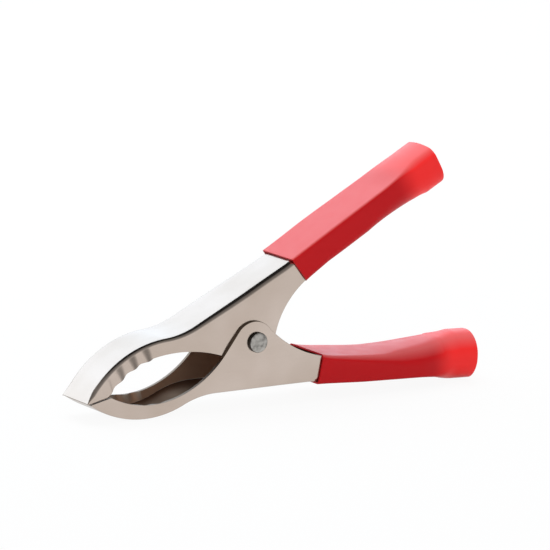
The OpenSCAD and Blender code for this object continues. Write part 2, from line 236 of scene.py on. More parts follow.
class ClipColours(bpy.types.PropertyGroup):
    """Colours of the clip and of its stage."""

    nickel: colour("Nickel", "Bright nickel plating on the levers", "#c8bab0")
    nickel_dull: colour("Dull nickel", "Nickel where handling has dulled it", "#bbaca0")
    # Tone of the inner faces: browner and darker than the outside, partly as painted shade inside the channel
    inner_nickel_and_shade: colour("Inner nickel", "Thin nickel on the inside of the walls", "#c6a187")
    # Painted shade laid on the inner faces in the bottom of the channel
    painted_channel_shade: colour("Stained nickel", "Stained nickel in the bottom of the channel", "#4c382c")
    # Painted highlight on the inner faces along the bends and on the crests between the waves
    nickel_fold: colour("Burnished nickel", "Nickel burnished by the press along the folds", "#e8dccf")
    # Dark grey of the cut edges, partly painted shade along them
    sheared: colour("Sheared edge", "Bare steel of the sheared edges", "#877768")
    rivet: colour("Rivet", "Zinc-plated steel of the rivet", "#b4b1ac")
    rivet_dark: colour("Dark rivet", "Hammer marks in the rivet's end", "#7d7a76")
    # Painted shade on the side of the rivet's peened end
    rivet_rim_shade: colour("Rivet rim", "Grimy side of the rivet's peened end", "#3c3733")
    spring: colour("Spring", "Drawn spring wire", "#77736f")
    vinyl: colour("Vinyl", "Red PVC where the steel lies behind it", "#c41118")
    # Painted glow: brighter red where light shines through the hollow end
    vinyl_painted_glow: colour("Free vinyl", "Red PVC where nothing lies behind it", "#ff302f")
    # Painted light: paler colour on the faces that lie upwards
    painted_top_light: colour("Bloom", "Pale dust on the faces that lie upwards", "#ffd8d8")
    floor: colour("Floor", "Pale studio floor", "#d2d2d2")


# Side view of the levers

def along(slope):
    """Unit vector at a slope, in side view."""
    return Vector((cos(slope), sin(slope)))


def across(slope):
    """Unit vector square to a slope, upwards in side view."""
    return Vector((-sin(slope), cos(slope)))


def mix(start, end, share):
    """Value between start and end."""
    return start + (end - start) * share


def clamp(value):
    """Value held between 0 and 1."""
    return max(0.0, min(1.0, value))


def smooth(value):
    """Value held between 0 and 1, with a soft start and end."""
    share = clamp(value)
    return share * share * (3 - 2 * share)


def arc(centre, radius, x, side):
    """Height of an arc at x, over its centre (side 1) or under it (side -1)."""
    return centre.y + side * sqrt(max(0.0, radius**2 - (x - centre.x) ** 2))


def line(start, end, x):
    """Height of a straight line at x."""
    return mix(start.y, end.y, (x - start.x) / (end.x - start.x))


# Height of the open mouth at which the waves have grown to their full depth
WAVE_GROWTH = 1 * MM


class LeverOutline:
    """Side view of a lever: heights over places x, pivot at the origin, handle towards +x."""

    def __init__(self, sizes, own):
        self.sizes = sizes
        self.own = own
        slope = sizes.shoulder_slope
        drop = sizes.bulge_height - sizes.tip_height
        self.bulge_r = ((own.jaw_length - sizes.bulge_at) ** 2 + drop**2) / (2 * drop)
        self.bulge_c = Vector((-sizes.bulge_at, sizes.bulge_height - self.bulge_r))
        reach = self.bulge_r + sizes.neck_radius
        rise = own.shoulder_height * cos(slope) + sizes.neck_radius - self.bulge_c.dot(across(slope))
        self.neck_c = self.bulge_c + rise * across(slope) + sqrt(reach**2 - rise**2) * along(slope)
        self.neck_start = mix(self.bulge_c, self.neck_c, self.bulge_r / reach).x
        self.neck_end = (self.neck_c - sizes.neck_radius * across(slope)).x
        handle_height = own.shoulder_height + sizes.handle_at * tan(slope)
        self.handle_start = Vector((sizes.handle_at, handle_height))
        self.handle_end = self.handle_start + sizes.handle_length * along(sizes.handle_slope)
        self.teeth_end = sizes.tooth_count * sizes.tooth_pitch - own.jaw_length

        self.ear_c = Vector((-own.ear_shift, 0))
        front = across(-own.ear_front)
        flank = own.ear_radius - self.ear_c.dot(front)
        room = own.mouth_at * front.x - own.mouth_height * front.y - flank
        self.mouth_r = room / (1 - front.y)
        self.mouth_c = Vector((-own.mouth_at, own.mouth_height - self.mouth_r))
        self.front_c = Vector((-own.mouth_at, own.mouth_height - own.mouth_front))
        self.mouth_end = self.mouth_c + self.mouth_r * front
        self.ear_start = self.ear_c - own.ear_radius * front
        rear = -across(own.ear_rear)
        self.ear_end = self.ear_c + own.ear_radius * rear
        out = across(sizes.handle_slope)
        hollow_back = self.handle_start + own.hollow_end * along(sizes.handle_slope)
        self.edge_start = hollow_back - own.hollow_depth * out
        self.edge_end = self.handle_end - own.end_depth * out
        rim = self.edge_end - self.edge_start
        edge_slope = atan2(rim.y, rim.x)
        down = -across(edge_slope)
        turn = rear.x * down.y - rear.y * down.x
        ear_reach = self.ear_end.dot(rear)
        edge_reach = self.edge_start.dot(down)
        corner = Vector((
            ear_reach * down.y - edge_reach * rear.y,
            edge_reach * rear.x - ear_reach * down.x,
        )) / turn
        self.hollow_r = (self.edge_start - corner).length / tan((own.ear_rear - edge_slope) / 2)
        self.hollow_c = self.edge_start + self.hollow_r * down
        self.hollow_start = self.hollow_c - self.hollow_r * rear

    def back(self, x):
        """Height of the lever's back: bulge, neck, shoulder and handle."""
        sizes = self.sizes
        if x < self.neck_start:
            return arc(self.bulge_c, self.bulge_r, x, 1)
        if x < self.neck_end:
            return arc(self.neck_c, sizes.neck_radius, x, -1)
        if x < sizes.handle_at:
            return self.own.shoulder_height + x * tan(sizes.shoulder_slope)
        return self.handle_start.y + (x - sizes.handle_at) * tan(sizes.handle_slope)

    def edge(self, x):
        """Height of the walls' edge: mouth, ear, hollow and handle."""
        own = self.own
        if x < -own.mouth_at:
            return max(self.sizes.jaw_gap / 2, arc(self.front_c, own.mouth_front, x, 1))
        if x < self.mouth_end.x:
            return arc(self.mouth_c, self.mouth_r, x, 1)
        if x < self.ear_start.x:
            return line(self.mouth_end, self.ear_start, x)
        if x < self.ear_end.x:
            return arc(self.ear_c, own.ear_radius, x, -1)
        if x < self.hollow_start.x:
            return line(self.ear_end, self.hollow_start, x)
        if x < self.edge_start.x:
            return arc(self.hollow_c, self.hollow_r, x, 1)
        return line(self.edge_start, self.edge_end, x)

    def bend(self, x):
        """Outside radius of the bends, tightest at the jaw's highest point."""
        share = smooth(abs(x + self.sizes.bulge_at) / self.sizes.bulge_at)
        radius = mix(self.sizes.jaw_bend, self.own.bend, share)
        return min(radius, (self.back(x) - self.edge(x)) / 2)

    def handle_place(self, x):
        """Distance along the handle at x."""
        return (x - self.sizes.handle_at) / cos(self.sizes.handle_slope)

    def depth(self, place):
        """Depth of the channel at a place along the handle."""
        slope = self.sizes.handle_slope
        low = self.handle_start + place * along(slope) - self.own.hollow_depth * across(slope)
        return self.own.hollow_depth + (low.y - self.edge(low.x)) * cos(slope)

    def width(self, x):
        """Outside width of the back: narrow at the jaw's tip and the handle's end, wide at the shoulder."""
        own = self.own
        sizes = self.sizes
        to_tip = clamp((-own.ear_radius - x) / (own.jaw_length - own.ear_radius))
        to_handle = clamp((x - own.ear_radius) / (sizes.handle_at - own.ear_radius))
        taper = clamp(self.handle_place(x) / sizes.handle_length)
        tips = sizes.tip_narrowing * to_tip
        spread = 2 * self.flare(x)
        return own.width - tips + spread + sizes.widening * to_handle - sizes.handle_taper * taper

    def flare(self, x):
        """Extra width of each wall at x, in front of the handle."""
        return self.own.flare * clamp((self.sizes.handle_at - x) / self.sizes.handle_at)

    def lean(self, x):
        """Amount by which each wall's edge stands in from the back at x, so that the ears fit."""
        return self.flare(x) * (1 - smooth((-x - self.own.ear_radius) / self.own.ear_radius))

    def wave(self, x):
        """Share of a wave in the toothed edge at x, none where the closed jaws touch."""
        if x >= self.teeth_end:
            return 0.0
        opening = smooth((self.edge(x) - self.sizes.jaw_gap / 2) / WAVE_GROWTH)
        return opening * (1 - cos(2 * pi * (x - self.teeth_end) / self.sizes.tooth_pitch)) / 2

    def crest(self, x):
        """Share of the ridge between two waves at x."""
        if x >= self.teeth_end:
            return 0.0
        return (1 + cos(2 * pi * (x - self.teeth_end) / self.sizes.tooth_pitch)) / 2


def stand(sizes):
    """The clip's place: its pivot, and the tilt at which the CAD model stands."""
    tilt = atan2(UPPER_AXIS.z, UPPER_AXIS.x) - sizes.handle_slope
    return Matrix.Translation(PIVOT) @ Matrix.Rotation(-tilt, 4, "Y")


# Meshes and nodes

def finish_mesh(bm, name, body, nodes, materials):
    """Makes a smooth-shaded piece of a bmesh, on a CAD body and in place of CAD nodes."""
    mesh = bpy.data.meshes.new(name)
    bm.to_mesh(mesh)
    bm.free()
    mesh.shade_smooth()
    for material in materials:
        mesh.materials.append(material)
    piece = bpy.data.objects.new(name, mesh)
    bpy.context.scene.collection.objects.link(piece)
    if body:
        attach(piece, body)
    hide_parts(*nodes)
    return piece


def thicken(piece, shares, thickness):
    """Thickens a piece inwards, by its own share of the thickness at each vertex."""
    group = piece.vertex_groups.new(name="thickness")
    for index, share in enumerate(shares):
        group.add([index], share, "REPLACE")
    solidify = piece.modifiers.new("Thickness", "SOLIDIFY")
    solidify.thickness = thickness
    solidify.offset = -1
    solidify.use_even_offset = True
    solidify.vertex_group = group.name
    return solidify


# Width of a softened edge
SOFT_EDGE = 0.12 * MM


def soften(piece, segments, sharp):
    """Rounds off the edges of a piece that turn by more than an angle."""
    bevel = piece.modifiers.new("Soft edges", "BEVEL")
    bevel.width = SOFT_EDGE
    bevel.segments = segments
    bevel.limit_method = "ANGLE"
    bevel.angle_limit = sharp


def add_node(tree, kind, inputs=None, **settings):
    """Adds a node with its settings and inputs: values, sockets, or nodes that give their first output."""
    node = tree.nodes.new(kind)
    for name, value in settings.items():
        setattr(node, name, value)
    for name, value in (inputs or {}).items():
        if isinstance(value, bpy.types.Node):
            value = value.outputs[0]
        if isinstance(value, bpy.types.NodeSocket):
            tree.links.new(value, node.inputs[name])
        else:
            node.inputs[name].default_value = value
    return node


def new_material(name):
    """A material with an empty node tree."""
    material = bpy.data.materials.new(name)
    material.use_nodes = True
    material.node_tree.nodes.clear()
    return material


def per_metre(millimetres):
    """Scale of a noise whose patches are about this many millimetres wide."""
    return 1 / (millimetres * MM)


# Materials

# Range that holds most of a noise's values
SPREAD = {"From Min": 0.3, "From Max": 0.7}
# Sockets of the mix node for two colours and their mix, which share their names with its other sockets
COLOUR_A = 6
COLOUR_B = 7
COLOUR_MIX = 2
# Share of painted light on the vinyl's upward faces, and share of the painted glow that it hides there
TOP_LIGHT_SHARE = 0.14
TOP_GLOW_COVER = 0.6


def surface_material(name, recipe, colours):
    """A material from a recipe that gives its colour, colours over it by a share, and its other inputs."""
    material = new_material(name)
    tree = material.node_tree
    place = add_node(tree, "ShaderNodeTexCoord").outputs["Object"]
    tone, layers, inputs = recipe(tree, place, colours)
    for share, layer in layers:
        mixed = add_node(
            tree, "ShaderNodeMix", {"Factor": share, COLOUR_A: tone, COLOUR_B: layer}, data_type="RGBA"
        )
        tone = mixed.outputs[COLOUR_MIX]
    surface = add_node(tree, "ShaderNodeBsdfPrincipled", {"Base Color": tone, **inputs})
    add_node(tree, "ShaderNodeOutputMaterial", {"Surface": surface})
    return material


def nickel_plated_steel(tree, place, colours):
    """Bright nickel on pressed sheet: warm grey mirror, a little soft, with dull patches and fine scuffs."""
    patches = add_node(tree, "ShaderNodeTexNoise", {"Vector": place, "Scale": per_metre(14), "Detail": 2})
    dull = add_node(tree, "ShaderNodeMapRange", {"Value": patches, **SPREAD})
    stretched = add_node(tree, "ShaderNodeMapping", {"Vector": place, "Scale": (0.12, 1, 1)})
    scuffs = add_node(tree, "ShaderNodeTexNoise", {"Vector": stretched, "Scale": per_metre(0.5), "Detail": 2})
    gloss = add_node(tree, "ShaderNodeMapRange", {"Value": scuffs, **SPREAD, "To Min": 0.15, "To Max": 0.23})
    grain = add_node(tree, "ShaderNodeTexNoise", {"Vector": place, "Scale": per_metre(1.6), "Detail": 2})
    bump = add_node(tree, "ShaderNodeBump", {"Height": grain, "Strength": 0.03, "Distance": 0.1 * MM})
    inputs = {"Metallic": 1.0, "Specular Tint": (0.8, 0.8, 0.8, 1.0), "Roughness": gloss, "Normal": bump}
    return colours.nickel, [(dull, colours.nickel_dull)], inputs


def inner_nickel_with_painted_light(tree, place, colours):
    """Thin, unpolished nickel inside the stamping: brownish, partly as painted shade, with painted highlights
    along its folds and painted shade in the bottom of the channel.
    """
    patches = add_node(tree, "ShaderNodeTexNoise", {"Vector": place, "Scale": per_metre(4), "Detail": 4})
    painted_recess_shade = add_node(tree, "ShaderNodeAttribute", attribute_name="painted_recess_shade").outputs["Fac"]
    fold = add_node(tree, "ShaderNodeAttribute", attribute_name="fold").outputs["Fac"]
    gloss = add_node(tree, "ShaderNodeMapRange", {"Value": patches, **SPREAD, "To Min": 0.36, "To Max": 0.5})
    bump = add_node(tree, "ShaderNodeBump", {"Height": patches, "Strength": 0.1, "Distance": 0.1 * MM})
    inputs = {
        "Metallic": 0.55,
        "Specular IOR Level": 0.12,
        "Specular Tint": (0.9, 0.75, 0.6, 1.0),
        "Roughness": gloss,
        "Normal": bump,
    }
    return colours.inner_nickel_and_shade, [(painted_recess_shade, colours.painted_channel_shade), (fold, colours.nickel_fold)], inputs


def sheared_edge_with_painted_shade(tree, place, colours):
    """Bare steel where the sheet was cut: dark grey and matt, partly as painted shade along the cut edges,
    which draws a thin line round every lever.
    """
    return colours.sheared, [], {"Metallic": 1.0, "Roughness": 0.45}


def peened_rivet_steel(tree, place, colours):
    """Zinc-plated steel, hammered over: grey and matt, mottled with shallow dents, with painted shade round
    the side of its peened end.
    """
    dents = add_node(tree, "ShaderNodeTexNoise", {"Vector": place, "Scale": per_metre(0.9), "Detail": 3})
    marks = add_node(tree, "ShaderNodeMapRange", {"Value": dents, "From Min": 0.4, "From Max": 0.7})
    rim_shade = add_node(tree, "ShaderNodeAttribute", attribute_name="rim_shade").outputs["Fac"]
    bump = add_node(tree, "ShaderNodeBump", {"Height": dents, "Strength": 0.5, "Distance": 0.25 * MM})
    layers = [(marks, colours.rivet_dark), (rim_shade, colours.rivet_rim_shade)]
    return colours.rivet, layers, {"Metallic": 1.0, "Roughness": 0.42, "Normal": bump}


def drawn_spring_wire(tree, place, colours):
    """Drawn spring steel: dark grey, with a satin shine that is a little uneven."""
    patches = add_node(tree, "ShaderNodeTexNoise", {"Vector": place, "Scale": per_metre(0.6), "Detail": 4})
    gloss = add_node(tree, "ShaderNodeMapRange", {"Value": patches, **SPREAD, "To Min": 0.28, "To Max": 0.45})
    bump = add_node(tree, "ShaderNodeBump", {"Height": patches, "Strength": 0.2, "Distance": 0.05 * MM})
    return colours.spring, [], {"Metallic": 1.0, "Roughness": gloss, "Normal": bump}


def soft_red_vinyl(tree, place, colours):
    """Dipped soft PVC: deep red over the steel, painted brighter as a glow where light gets behind it and
    painted paler where the faces lie upwards, with a soft gloss.
    """
    free = add_node(tree, "ShaderNodeAttribute", attribute_name="painted_glow").outputs["Fac"]
    facing = add_node(tree, "ShaderNodeNewGeometry").outputs["Normal"]
    height = add_node(tree, "ShaderNodeSeparateXYZ", {"Vector": facing}).outputs["Z"]
    upward = add_node(tree, "ShaderNodeMapRange", {"Value": height, "From Min": 0.35, "From Max": 0.8})
    # Painted light on the faces that lie upwards
    top_light = add_node(tree, "ShaderNodeMath", {0: upward, 1: TOP_LIGHT_SHARE}, operation="MULTIPLY")
    glow_left = add_node(tree, "ShaderNodeMath", {0: upward, 1: -TOP_GLOW_COVER, 2: 1.0}, operation="MULTIPLY_ADD")
    bright = add_node(tree, "ShaderNodeMath", {0: free, 1: glow_left}, operation="MULTIPLY")
    skin = add_node(tree, "ShaderNodeTexNoise", {"Vector": place, "Scale": per_metre(3), "Detail": 3})
    gloss = add_node(tree, "ShaderNodeMapRange", {"Value": skin, **SPREAD, "To Min": 0.34, "To Max": 0.44})
    bump = add_node(tree, "ShaderNodeBump", {"Height": skin, "Strength": 0.12, "Distance": 0.2 * MM})
    layers = [(bright, colours.vinyl_painted_glow), (top_light, colours.painted_top_light)]
    return colours.vinyl, layers, {"Roughness": gloss, "IOR": 1.24, "Normal": bump}


# Levers

# Rows of the sheet's grid across a wall, a bend and the back, and its steps along a wave and along the rest
WALL_ROWS = 16
BEND_ROWS = 6
WEB_ROWS = 10
FOLD_ROWS = 2 * (WALL_ROWS + BEND_ROWS) + WEB_ROWS
WAVE_STEPS = 12
PLAIN_STEPS = 220
# Largest share of a lever's height that the sheet fills, at the sharp tips of the jaws
TIP_FILL = 0.6
# Reach of the pivot hole's stepped rim, as a share of the hole's diameter
STEPPED_REACH = 0.75
# Share of a bend at each of its ends that gets no painted highlight
HIGHLIGHT_MARGIN = 0.05
# Width of the broken edges, as a percentage of the edges next to them
BROKEN_EDGE = 14
# Places of the inner and the sheared material in a lever's list, after the outer one
INSIDE = 1
SHEARED = 2


def fold_point(outline, x, row):
    """Point of the folded sheet's outside at x, in a row counted from one wall's edge to the other's."""
    from_edge = min(row, FOLD_ROWS - row)
    side = -1 if row < FOLD_ROWS / 2 else 1
    lean = outline.lean(x)
    half = outline.width(x) / 2
    top = outline.back(x)
    bend = outline.bend(x)
    if from_edge <= WALL_ROWS:
        share = from_edge / WALL_ROWS
        reach = half + (outline.own.tooth_height * outline.wave(x) - lean) * (1 - share)
        return Vector((x, side * reach, mix(outline.edge(x), top - bend, share)))
    if from_edge <= WALL_ROWS + BEND_ROWS:
        turn = pi / 2 * (from_edge - WALL_ROWS) / BEND_ROWS
        return Vector((x, side * (half - bend + bend * cos(turn)), top - bend + bend * sin(turn)))
    share = (row - WALL_ROWS - BEND_ROWS) / WEB_ROWS
    return Vector((x, mix(bend - half, half - bend, share), top))


def make_lever(name, body, outline, hole, place, materials):
    """A lever: a grid folded into the pressed channel, cut out, thickened and with its edges broken."""
    sizes = outline.sizes
    tooth_steps = WAVE_STEPS * sizes.tooth_count
    steps = tooth_steps + PLAIN_STEPS
    bm = bmesh.new()
    bmesh.ops.create_grid(bm, x_segments=steps, y_segments=FOLD_ROWS, size=1)
    for vert in bm.verts:
        step = round((vert.co.x + 1) / 2 * steps)
        row = round((vert.co.y + 1) / 2 * FOLD_ROWS)
        if step < tooth_steps:
            x = mix(-outline.own.jaw_length, outline.teeth_end, step / tooth_steps)
        else:
            x = mix(outline.teeth_end, outline.handle_end.x, (step - tooth_steps) / PLAIN_STEPS)
        vert.co = fold_point(outline, x, row)

    def in_pivot_hole(face):
        centre = face.calc_center_median()
        return hypot(centre.x, centre.z) < hole / 2

    def in_crimp_slot(face):
        centre = face.calc_center_median()
        from_end = sizes.handle_length - outline.handle_place(centre.x)
        below = outline.back(centre.x) - centre.z
        return 0 < from_end - sizes.crimp_length < sizes.crimp_slot and below > outline.own.bend

    cut = [face for face in bm.faces if in_pivot_hole(face) or in_crimp_slot(face)]
    bmesh.ops.delete(bm, geom=cut, context="FACES")
    for vert in bm.verts:
        reach = hypot(vert.co.x, vert.co.z)
        if vert.is_boundary and reach < STEPPED_REACH * hole:
            vert.co.x *= hole / 2 / reach
            vert.co.z *= hole / 2 / reach

    painted_recess_shade = bm.verts.layers.float.new("painted_recess_shade")
    fold = bm.verts.layers.float.new("fold")
    thickness = bm.verts.layers.float.new("sheet_share")
    for vert in bm.verts:
        x, y, z = vert.co
        room = outline.back(x) - outline.edge(x)
        height = clamp((z - outline.edge(x)) / room)
        hollow = outline.own.tooth_cut * outline.wave(x) * (1 - height)
        vert[thickness] = clamp(TIP_FILL * room / sizes.sheet) * (1 - hollow / sizes.sheet)
        bend = outline.bend(x)
        from_back = (outline.back(x) - z) / bend
        from_side = (outline.width(x) / 2 - abs(y)) / bend
        in_bend = HIGHLIGHT_MARGIN < from_back < 1 - HIGHLIGHT_MARGIN and from_side < 1 - HIGHLIGHT_MARGIN
        # Painted shade, strongest at the back of the channel and gone one bend radius from it
        vert[painted_recess_shade] = 1 - smooth(from_back)
        # Painted highlight along the inside of the bends and on the wave crests, strongest at the walls' edge
        vert[fold] = 1.0 if in_bend else outline.crest(x) * (1 - height)
    if body == "lower_half":
        bmesh.ops.scale(bm, vec=(1, 1, -1), verts=bm.verts)
    bmesh.ops.recalc_face_normals(bm, faces=bm.faces)
    highest = max(bm.faces, key=lambda face: abs(face.calc_center_median().z))
    if highest.normal.z * highest.calc_center_median().z < 0:
        bmesh.ops.reverse_faces(bm, faces=bm.faces)
    bm.transform(place)
    shares = [vert[thickness] for vert in bm.verts]
    piece = finish_mesh(bm, name + "_sheet", body, [name], materials)

    solidify = thicken(piece, shares, sizes.sheet)
    solidify.material_offset = INSIDE
    solidify.material_offset_rim = SHEARED
    bevel = piece.modifiers.new("Broken edges", "BEVEL")
    bevel.offset_type = "PERCENT"
    bevel.width_pct = BROKEN_EDGE
    bevel.use_clamp_overlap = False
    bevel.segments = 3
    bevel.material = SHEARED
    bevel.limit_method = "ANGLE"
    bevel.angle_limit = radians(50)
    bevel.harden_normals = True


class CLIP_OT_levers(bpy.types.Operator):
    """Make the two pressed levers"""

    bl_idname = "clip.levers"
    bl_label = "Levers"

    def execute(self, context):
        sizes = context.scene.clip_levers
        pivot = context.scene.clip_pivot
        colours = context.scene.clip_colours
        materials = [
            surface_material("nickel_plated_pressed_steel", nickel_plated_steel, colours),
            surface_material("inner_nickel_and_painted_light", inner_nickel_with_painted_light, colours),
            surface_material("sheared_edge_and_painted_shade", sheared_edge_with_painted_shade, colours),
        ]
        hole = pivot.rivet + 2 * pivot.hole_gap
        place = stand(sizes)
        upper = LeverOutline(sizes, context.scene.clip_upper_edge)
        lower = LeverOutline(sizes, context.scene.clip_lower_edge)
        make_lever("upper_lever", "upper_half", upper, hole, place, materials)
        make_lever("lower_lever", "lower_half", lower, hole, place, materials)
        return {"FINISHED"}


# Rivet

# Steps round the rivet, over the rim of its peened end and over its head
ROUND_STEPS = 64
RIM_STEPS = 4
DOME_STEPS = 8
# Face of the peened end: shares of its radius, with the share of its height there
PEENED_FACE = [(0, 1), (0.35, 1), (0.7, 0.96)]
# Height and radius of its rim, and least height and depth of its dents, as shares of its height
RIM_HEIGHT = 0.92
RIM_ROUND = 0.25
DENT_FROM = 0.5
DENT_DEPTH = 0.12
# Width of a dent in millimetres
DENT_WIDTH = 1.4
# Share of the radius from which the side of the peened end gets painted shade
RIM_SHADE_FROM = 0.97


class CLIP_OT_rivet(bpy.types.Operator):
    """Make the rivet with its peened end and its head"""

    bl_idname = "clip.rivet"
    bl_label = "Rivet"

    def execute(self, context):
        pivot = context.scene.clip_pivot
        place = stand(context.scene.clip_levers)
        ear = context.scene.clip_lower_edge.width / 2
        high = pivot.peened_height
        peened = pivot.peened / 2
        crown = RIM_ROUND * high
        dome = ((pivot.head / 2) ** 2 + pivot.head_height**2) / (2 * pivot.head_height)
        profile = [(share * peened, -ear - height * high) for share, height in PEENED_FACE]
        profile += [
            (peened - crown + crown * sin(turn), -ear - RIM_HEIGHT * high + crown - crown * cos(turn))
            for turn in (pi / 2 * i / RIM_STEPS for i in range(1, RIM_STEPS + 1))
        ]
        profile += [(peened, -ear), (pivot.rivet / 2, -ear), (pivot.rivet / 2, ear), (pivot.head / 2, ear)]
        half_dome = asin(pivot.head / 2 / dome)
        profile += [
            (dome * sin(turn), ear + pivot.head_height - dome + dome * cos(turn))
            for turn in (half_dome * (1 - i / DOME_STEPS) for i in range(1, DOME_STEPS + 1))
        ]
        bm = bmesh.new()
        verts = [bm.verts.new((radius, y, 0)) for radius, y in profile]
        edges = [bm.edges.new(pair) for pair in zip(verts, verts[1:])]
        bmesh.ops.spin(
            bm, geom=verts + edges, axis=(0, 1, 0), angle=2 * pi, steps=ROUND_STEPS, use_merge=True
        )
        bmesh.ops.remove_doubles(bm, verts=bm.verts, dist=MERGE)
        bmesh.ops.recalc_face_normals(bm, faces=bm.faces)
        rim_shade = bm.verts.layers.float.new("rim_shade")
        for vert in bm.verts:
            # Painted shade on the side of the peened end
            on_side = hypot(vert.co.x, vert.co.z) > RIM_SHADE_FROM * peened
            vert[rim_shade] = 1.0 if on_side and vert.co.y < 0 else 0.0
            if vert.co.y < -ear - DENT_FROM * high:
                vert.co.y += DENT_DEPTH * high * abs(noise.noise(vert.co * per_metre(DENT_WIDTH)))
        bm.transform(place)
        colours = context.scene.clip_colours
        materials = [surface_material("peened_zinc_plated_steel", peened_rivet_steel, colours)]
        piece = finish_mesh(bm, "rivet_forged", "lower_half", ["pivot_rivet"], materials)
        soften(piece, segments=2, sharp=radians(50))
        return {"FINISHED"}


# Spring

# Steps along a turn of the coil, and steps round a quarter of the wire
TURN_STEPS = 40
WIRE_STEPS = 5


class CLIP_OT_spring(bpy.types.Operator):
    """Make the torsion spring round the rivet"""

    bl_idname = "clip.spring"
    bl_label = "Spring"

    def execute(self, context):
        sizes = context.scene.clip_levers
        pivot = context.scene.clip_pivot
        upper = context.scene.clip_upper_edge
        outline = LeverOutline(sizes, upper)
        place = stand(sizes)
        wire_r = pivot.wire / 2
        coil_r = pivot.rivet / 2 + pivot.coil_gap + wire_r
        reach = outline.handle_start.dot(across(sizes.handle_slope)) - sizes.sheet - pivot.leg_gap - wire_r
        leg_slope = sizes.handle_slope + asin(reach / hypot(coil_r, pivot.leg)) - atan2(coil_r, pivot.leg)
        part_turn = (pi - 2 * leg_slope) / (2 * pi)
        room = upper.width - 2 * (sizes.sheet + pivot.side_gap) - pivot.wire
        turns = part_turn + floor(room / (pivot.wire + pivot.turn_gap) - part_turn)
        half = turns * (pivot.wire + pivot.turn_gap) / 2
        end = coil_r * across(leg_slope) + pivot.leg * along(leg_slope)
        steps = ceil(turns * TURN_STEPS)
        path = [(end.x, -half, end.y)]
        for step in range(steps + 1):
            turn = leg_slope + pi / 2 + 2 * pi * turns * step / steps
            path.append((coil_r * cos(turn), half * (2 * step / steps - 1), coil_r * sin(turn)))
        path.append((end.x, half, -end.y))

        curve = bpy.data.curves.new("wire_path", "CURVE")
        curve.dimensions = "3D"
        curve.bevel_depth = wire_r
        curve.bevel_resolution = WIRE_STEPS
        curve.use_fill_caps = True
        spline = curve.splines.new("POLY")
        spline.points.add(len(path) - 1)
        for point, spot in zip(spline.points, path):
            point.co = (*spot, 1)
        helper = bpy.data.objects.new("wire_path", curve)
        context.scene.collection.objects.link(helper)
        bm = bmesh.new()
        bm.from_mesh(helper.to_mesh())
        helper.to_mesh_clear()
        bpy.data.objects.remove(helper)
        bpy.data.curves.remove(curve)
        bmesh.ops.remove_doubles(bm, verts=bm.verts, dist=MERGE)
        bmesh.ops.recalc_face_normals(bm, faces=bm.faces)
        bm.transform(place)
        colours = context.scene.clip_colours
        materials = [surface_material("drawn_spring_steel", drawn_spring_wire, colours)]
        piece = finish_mesh(bm, "spring_wire", None, ["torsion_spring"], materials)
        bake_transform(piece)
        return {"FINISHED"}


# Sleeves

# Steps of the tube's grid along the handle, and its rows round one half, from the middle of the top
SLEEVE_STEPS = 96
TOP_ROWS = 14
CREASE_ROWS = 10
SIDE_ROWS = 8
CORNER_ROWS = 14
UNDER_ROWS = 12
HALF_ROWS = TOP_ROWS + CREASE_ROWS + SIDE_ROWS + CORNER_ROWS + UNDER_ROWS
# Painted glow of light behind the vinyl: where it begins, in front of the handle's end, and the length until
# it is full
GLOW_LEAD = 4 * MM
GLOW_LENGTH = 7 * MM


class SleeveOutline:
    """Outline of a sleeve across the handle, at places along it."""

    def __init__(self, lever, sleeve, tube):
        self.lever = lever
        self.sleeve = sleeve
        self.tube = tube
        self.end = lever.sizes.handle_length + tube.over
        self.round_start = self.end - sleeve.round_length

    def point(self, place, row):
        """Point of the outside at a place along the handle, in a row counted round it from its top."""
        sleeve = self.sleeve
        tube = self.tube
        sizes = self.lever.sizes
        loose = smooth((place - sleeve.start) / sleeve.hug)
        turned = smooth((place - sleeve.turn_at) / (self.round_start - sleeve.turn_at))
        swell = clamp((place - tube.swell_at) / (self.round_start - tube.swell_at)) ** tube.swell_power
        x = sizes.handle_at + place * cos(sizes.handle_slope)
        side_off = mix(sleeve.mouth_off, sleeve.side_off, loose)
        half = mix(self.lever.width(x) / 2 + side_off, sleeve.rim_half, turned)
        top = mix(mix(sleeve.mouth_off, sleeve.back_off, loose), tube.rim_top, turned)
        crown = tube.rim_crown * turned
        depth = self.lever.depth(place)
        flat = max(depth + sleeve.low_off, tube.under - tube.bow)
        bow = max(0, tube.under - flat) * (1 - swell)
        bottom = -mix(flat, tube.rim_bottom, swell)
        top_r = mix(sleeve.crease, tube.rim_crease, turned**3)
        # The largest corner that clears the walls' edge
        spare = -bottom - depth
        aside = max(0, half - self.lever.width(x) / 2)
        clear_r = aside + spare + sqrt(2 * aside * spare)
        beyond = smooth((place - sizes.handle_length) / (self.round_start - sizes.handle_length))
        wanted_r = mix(sleeve.low_corner, sleeve.rim_corner, sqrt(swell))
        low_r = mix(min(clear_r, wanted_r), sleeve.rim_corner, beyond)

        from_top = min(row, 2 * HALF_ROWS - row)
        side = 1 if row <= HALF_ROWS else -1
        on_crease = from_top - TOP_ROWS
        on_side = on_crease - CREASE_ROWS
        on_corner = on_side - SIDE_ROWS
        under = on_corner - CORNER_ROWS
        if on_crease <= 0:
            spot = Vector(((half - top_r) * from_top / TOP_ROWS, top))
        elif on_side <= 0:
            turn = pi / 2 * on_crease / CREASE_ROWS
            spot = Vector((half - top_r + top_r * sin(turn), top - top_r + top_r * cos(turn)))
        elif on_corner <= 0:
            spot = Vector((half, mix(top - top_r, bottom + low_r, on_side / SIDE_ROWS)))
        elif under <= 0:
            turn = pi / 2 * on_corner / CORNER_ROWS
            spot = Vector((half - low_r + low_r * cos(turn), bottom + low_r - low_r * sin(turn)))
        else:
            spot = Vector(((half - low_r) * (1 - under / UNDER_ROWS), bottom))
        arch = 1 - (spot.x / half) ** 2
        if on_side <= 0:
            spot.y += crown * arch
        elif on_corner > 0:
            spot.y -= bow * arch
        slant = -spot.y * tan(sleeve.lean) * clamp(1 - (place - sleeve.start) / sleeve.lean_fade)
        return Vector((place + slant, side * spot.x, spot.y))


